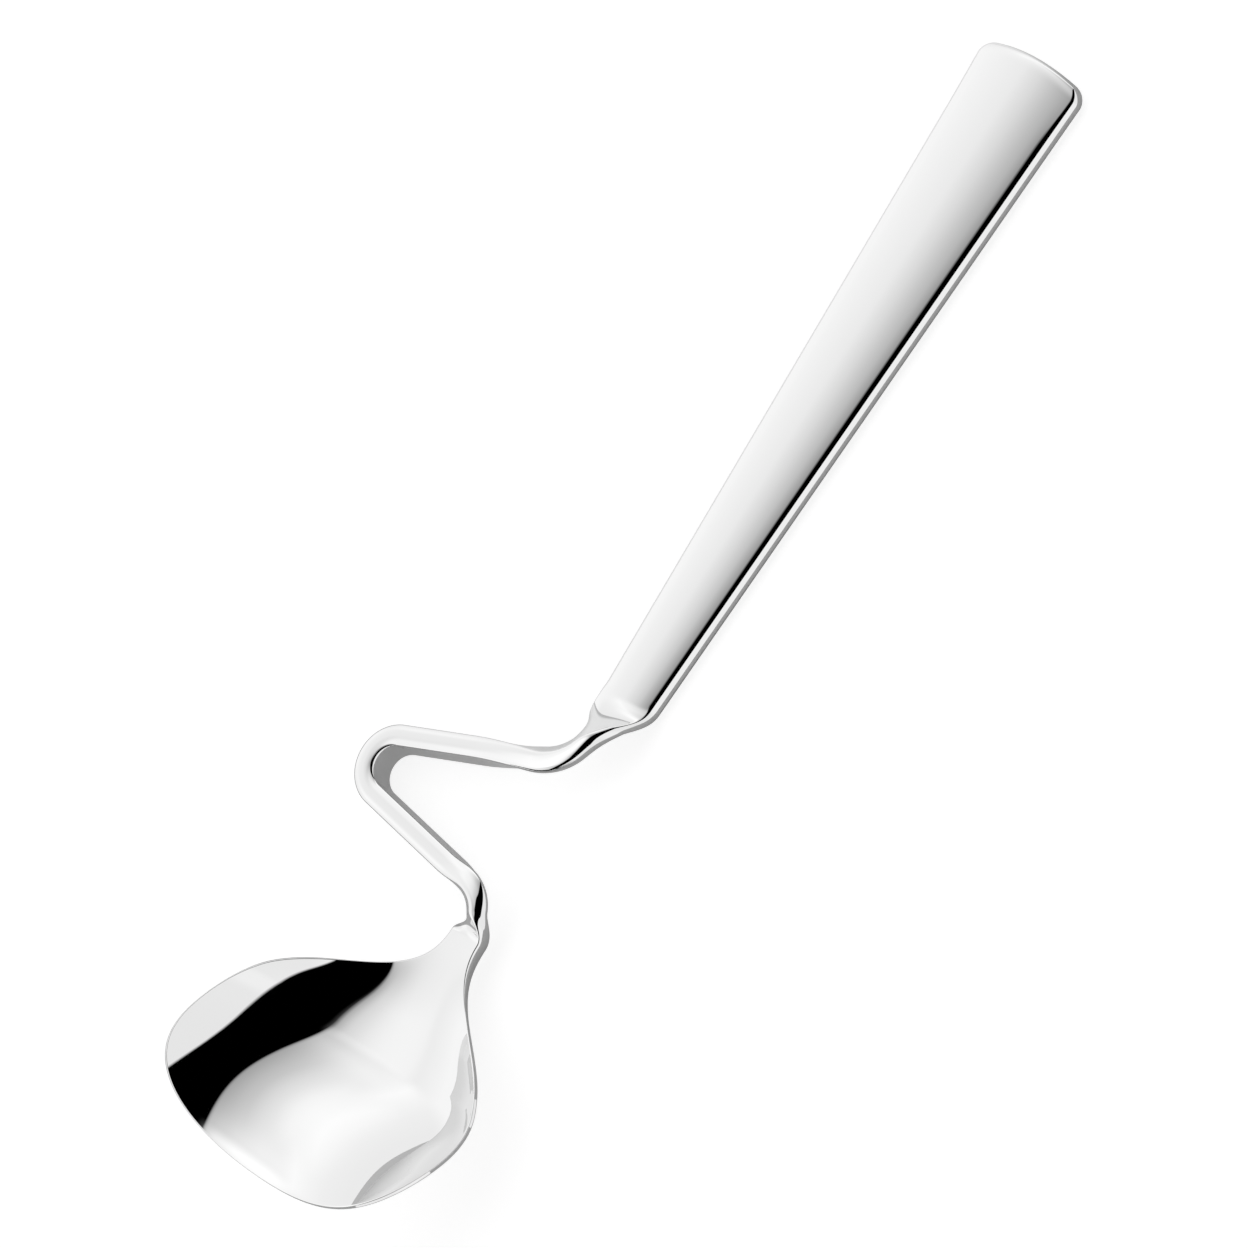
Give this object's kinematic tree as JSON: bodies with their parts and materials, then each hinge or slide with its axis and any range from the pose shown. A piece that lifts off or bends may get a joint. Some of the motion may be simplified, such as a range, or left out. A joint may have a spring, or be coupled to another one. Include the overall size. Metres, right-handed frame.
{
  "type": "honey spoon",
  "caption": "Polished steel honey spoon with a wide blunt bowl, a twisted neck bent into a sideways hook, and a tapered hollow handle.",
  "frame": {"origin": "middle of the flat back of the handle", "axes": "+X along the handle towards its butt, +Z out of the crowned front, so the spoon lies on its back"},
  "size_m": [0.1551, 0.0445, 0.0184],
  "materials": {
    "bowl_steel": "mirror polished stainless steel",
    "neck_steel": "mirror polished stainless steel",
    "handle_steel": "mirror polished stainless steel",
    "filler": "set filler, never seen"
  },
  "bodies": {
    "root": {"bowl": "bowl_steel", "neck": "neck_steel", "handle_front_shell": "handle_steel", "handle_back_shell": "handle_steel", "handle_filler": "filler"}
  },
  "joints": []
}
